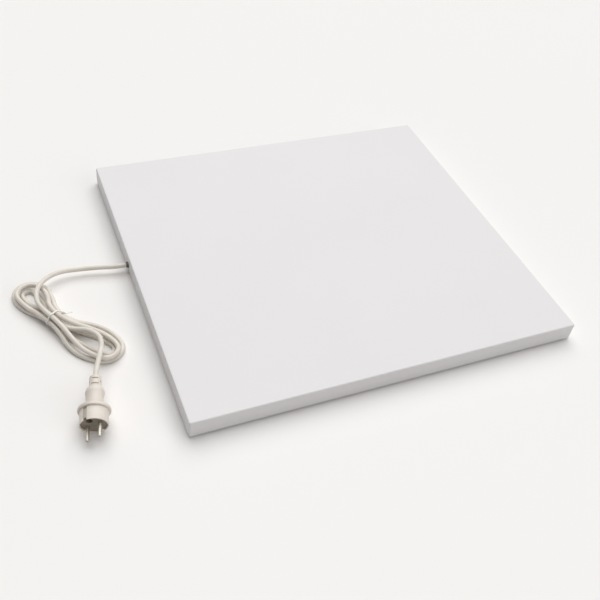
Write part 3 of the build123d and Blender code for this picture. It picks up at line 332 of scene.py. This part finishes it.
def dress_element():
    """The heating element behind the face, with the foil and the board that back it."""
    laminate = speckled("glass_laminate", tone(153, 149, 118), tone(177, 173, 142), 0.5, 1500.0, 0.00008)
    dress(laminate, "element_carrier")
    dress(brushed("etched_track", tone(137, 132, 124), tone(170, 164, 155), 0.4, "X"), "heating_track")
    amber = speckled("amber_film", tone(188, 149, 75), tone(206, 173, 97), 0.3, 800.0, 0.00003)
    dress(amber, "cover_film")
    dress(brushed("bright_foil", tone(221, 221, 222), tone(239, 239, 240), 0.25, "X"), "reflector_foil")
    dress(mineral_board(), "insulation_board")


def dress_wiring():
    """The junction box and what is wired inside the tray."""
    grey = speckled("box_plastic", tone(191, 191, 188), tone(206, 206, 203), 0.5, 1600.0, 0.00005)
    dress(grey, "junction_box", "cord_clamp")
    steatite = speckled("steatite", tone(218, 214, 203), tone(231, 229, 221), 0.7, 2000.0, 0.00008)
    dress(steatite, "terminal_block")
    brass = brushed("bright_brass", tone(206, 184, 129), tone(229, 209, 158), 0.3, "X")
    dress(brass, "track_terminals", "terminal_tubes", "earth_ring")
    phenolic = speckled("phenolic", tone(39, 36, 34), tone(60, 56, 53), 0.45, 900.0, 0.00005)
    dress(phenolic, "thermal_limiter")
    brown = speckled("brown_insulation", tone(111, 75, 48), tone(134, 93, 63), 0.4, 900.0, 0.00003)
    dress(brown, "core_live", "live_wire", "limiter_wire")
    blue = speckled("blue_insulation", tone(56, 97, 170), tone(75, 118, 188), 0.4, 900.0, 0.00003)
    dress(blue, "core_neutral", "neutral_wire")
    dress(green_yellow(), "core_earth", "earth_wire")


def dress_lead(sheath):
    """The bush, the end of the cord inside the tray, the tie and the plug."""
    # Painted shade: the bush is coloured dark grey to stand for the shadow where the cord meets the wall.
    bush = speckled("bush_grey_painted_shade", tone(92, 88, 80), tone(110, 105, 96), 0.5, 1500.0, 0.00005)
    dress(bush, "cord_bush")
    dress(sheath, "cord_inner")
    tie = speckled("tie_plastic", tone(226, 222, 214), tone(236, 232, 225), 0.25, 700.0, 0.00004)
    dress(tie, "cord_tie")
    dress(ivory_moulding(), "plug_grip")
    dress(taupe_insert_painted_shade(), "plug_bridge")
    dress(nickel_pins(), "plug_pins", "plug_earth_strip", "plug_earth_socket")


# ------------------------------------------------------------------ cord

cord_radius = 0.0035
cord_exit = Vector((-0.300, 0.048, 0.013))

# Hank: three turns, drawn in where the tie holds them.
tie_centre = Vector((-0.424, -0.033, 0.0))
waist_heading = -62.0  # degrees from +X
strand_rise = 0.0077  # from one layer to the next
waist_step = 0.0084  # between strands side by side under the tie
waist_z = 0.0047  # middle of the lowest strands there
# Place across the waist, in steps, and layer of each strand under the tie.
waist_slots = [(-0.4, 2), (0.62, 2), (-1.0, 1), (1.7, 0.7), (-0.6, 0), (0.62, 0), (0.1, 1)]
far_fullness = 1.5  # length of a lobe's round end over its half width
near_fullness = 1.0
# Heading, reach, half width and layer of each turn: the lobe towards the front, then the
# one at the back.
far_turns = [(-52.4, 0.109, 0.0187, 1), (-49.2, 0.110, 0.028, 0), (-49.2, 0.1005, 0.0112, 0)]
near_turns = [(111.5, 0.082, 0.0185, 1), (109.3, 0.091, 0.0237, 0), (111.5, 0.078, 0.0095, 0)]
hank_end = 0.010  # straight run at each end of the hank
lead_last_run = 0.015
tail_first_run = 0.012
tail_last_run = 0.009

plug_place = (-0.4099, -0.2333)
plug_heading = -103.8
plug_tilt = math.radians(5.0)  # nose down
plug_body_length = 0.0192
plug_flange_radius = 0.021
plug_length = 0.0715


def heading(degrees):
    """Unit vector on the floor, degrees counted from +X towards +Y."""
    return Vector((math.cos(math.radians(degrees)), math.sin(math.radians(degrees)), 0))


waist_along = heading(waist_heading)
waist_across = heading(waist_heading + 90)


def waist_station(strand):
    """Point and direction of a strand as it passes under the tie."""
    across, layer = waist_slots[strand]
    point = tie_centre + waist_across * (across * waist_step)
    point += Vector((0, 0, waist_z + layer * strand_rise))
    return point, waist_along if strand % 2 == 0 else -waist_along


def lobe_stations(lobe_heading, reach, half_width, layer, fullness):
    """Points and directions where a turn swings out, passes the lobe's end and swings in."""
    along = heading(lobe_heading)
    across = heading(lobe_heading + 90)
    middle = tie_centre + Vector((0, 0, cord_radius + layer * strand_rise))
    shoulder = reach - fullness * half_width
    return [
        (middle + along * shoulder - across * half_width, along),
        (middle + along * reach, across),
        (middle + along * shoulder + across * half_width, -along),
    ]


def swing(start, start_heading, end, end_heading):
    """The two control points of the swing between two places of known direction."""
    chord = end - start
    apart = 2 * (1 - start_heading.dot(end_heading))
    lean = chord.dot(start_heading + end_heading)
    nearly_parallel = 1e-9
    if apart < nearly_parallel:
        reach = chord.length_squared / (2 * lean)
    else:
        reach = (math.sqrt(lean ** 2 + apart * chord.length_squared) - lean) / apart
    return [start + start_heading * reach, end - end_heading * reach]


def hank_points():
    """Control points of the three turns, sixteen to a turn."""
    stations = [waist_station(0)]
    for turn, (far_turn, near_turn) in enumerate(zip(far_turns, near_turns)):
        stations += lobe_stations(*far_turn, far_fullness)
        stations.append(waist_station(2 * turn + 1))
        stations += lobe_stations(*near_turn, near_fullness)
        stations.append(waist_station(2 * turn + 2))
    points = []
    for (start, start_heading), (end, end_heading) in zip(stations, stations[1:]):
        points += swing(start, start_heading, end, end_heading)
    return points


hank_start = waist_station(0)[0] - waist_along * hank_end
hank_finish = waist_station(6)[0] + waist_along * hank_end

# The plug lies on the front rim of its flange.
plug_axis = heading(plug_heading) * math.cos(plug_tilt) - Vector((0, 0, math.sin(plug_tilt)))
plug_face_z = plug_flange_radius * math.cos(plug_tilt) - plug_body_length * math.sin(plug_tilt)
plug_rear = Vector((*plug_place, plug_face_z)) - plug_axis * plug_length


def cord_points():
    """The whole cord, from the bush to the plug."""
    return (
        [
            cord_exit,
            Vector((-0.320, 0.048, 0.013)),
            Vector((-0.340, 0.054, 0.012)),
            Vector((-0.372, 0.0585, 0.0117)),
            Vector((-0.402, 0.0585, 0.014)),
            Vector((-0.424, 0.0435, 0.0185)),
            Vector((-0.4375, 0.024, 0.0215)),
            Vector((-0.4415, 0.004, 0.0215)),
            hank_start - waist_along * lead_last_run,
        ]
        + hank_points()
        + [
            hank_finish + waist_along * tail_first_run,
            Vector((-0.4007, -0.0627, 0.0148)),
            Vector((-0.3855, -0.0715, 0.0195)),
            Vector((-0.373, -0.088, 0.0225)),
            Vector((-0.372, -0.106, 0.024)),
            Vector((-0.378, -0.123, 0.025)),
            Vector((-0.385, -0.1405, 0.0255)),
            plug_rear - plug_axis * tail_last_run,
            plug_rear,
        ]
    )


def smooth_cord(name, points, radius, material):
    """A round cord along a smooth spline."""
    curve = bpy.data.curves.new(name, "CURVE")
    curve.dimensions = "3D"
    curve.resolution_u = 10
    curve.bevel_depth = radius
    curve.bevel_resolution = 5
    curve.use_fill_caps = True
    spline = curve.splines.new("NURBS")
    spline.points.add(len(points) - 1)
    for slot, point in zip(spline.points, points):
        slot.co = (*point, 1.0)
    spline.order_u = 3
    spline.use_endpoint_u = True
    piece = bpy.data.objects.new(name, curve)
    curve.materials.append(material)
    scene.collection.objects.link(piece)
    return piece


def mains_cord(sheath):
    """The lead, its hank and the stretch to the plug, as one length of flex."""
    cord = smooth_cord("mains_cord", cord_points(), cord_radius, sheath)
    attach(cord, "root")
    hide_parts("cord_lead", "cord_hank", "cord_tail")


# ------------------------------------------------------------------ floor and light

floor_reach = 20.0  # from the middle of the floor to each side
room_light = 0.21  # the share that comes evenly from all round


def pale_floor():
    """A wide pale floor."""
    mesh = bmesh.new()
    bmesh.ops.create_grid(mesh, x_segments=1, y_segments=1, size=floor_reach)
    data = bpy.data.meshes.new("floor")
    mesh.to_mesh(data)
    mesh.free()
    floor = bpy.data.objects.new("floor", data)
    scene.collection.objects.link(floor)
    paint = Paint("floor_paint", Roughness=0.9, Specular_IOR_Level=0.1)
    clouds = paint.noise(1.2, 2.0)
    paint.set("Base Color", paint.mix(clouds, tone(243, 241, 239), tone(245, 243, 241)))
    data.materials.append(paint.material)


def far_light(name, azimuth, elevation, spread, level):
    """A wide light far off; level is its share of the light on a flat white surface."""
    height = math.radians(elevation)
    lamp = bpy.data.lights.new(name, "SUN")
    lamp.angle = math.radians(spread)
    lamp.energy = math.pi * level / math.sin(height)
    light = bpy.data.objects.new(name, lamp)
    source = heading(azimuth) * math.cos(height) + Vector((0, 0, math.sin(height)))
    light.rotation_mode = "QUATERNION"
    light.rotation_quaternion = source.to_track_quat("Z", "Y")
    scene.collection.objects.link(light)


def pale_room():
    """Even dim light all round, and plain white where the room itself is seen or mirrored."""
    world = bpy.data.worlds.new("room")
    world.use_nodes = True
    room = Nodes(world.node_tree)
    white = (1.0, 1.0, 1.0, 1.0)
    light = room.add("ShaderNodeBackground", inputs={"Color": white, "Strength": room_light})
    backdrop = room.add("ShaderNodeBackground", inputs={"Color": white, "Strength": 1.0})
    seen = room.add("ShaderNodeLightPath", output="Is Camera Ray")
    mirrored = room.add("ShaderNodeLightPath", output="Is Glossy Ray")
    passed = room.add("ShaderNodeLightPath", output="Is Transmission Ray")
    mixed = room.add("ShaderNodeMixShader", inputs={0: seen + mirrored + passed, 1: light, 2: backdrop})
    room.tree.links.new(mixed.socket, room.tree.nodes["World Output"].inputs["Surface"])
    scene.world = world


def studio():
    """A pale room: a wide soft light from behind and to the right, and a faint one from the front."""
    scene.view_settings.view_transform = "Standard"
    pale_room()
    far_light("window", azimuth=64.0, elevation=61.0, spread=66.0, level=0.685)
    far_light("lamp", azimuth=-45.0, elevation=26.0, spread=52.0, level=0.11)
    pale_floor()


# ------------------------------------------------------------------ the build

sheath = ivory_sheath()
mains_cord(sheath)
dress_housing()
dress_element()
dress_wiring()
dress_lead(sheath)
place_camera()
studio()
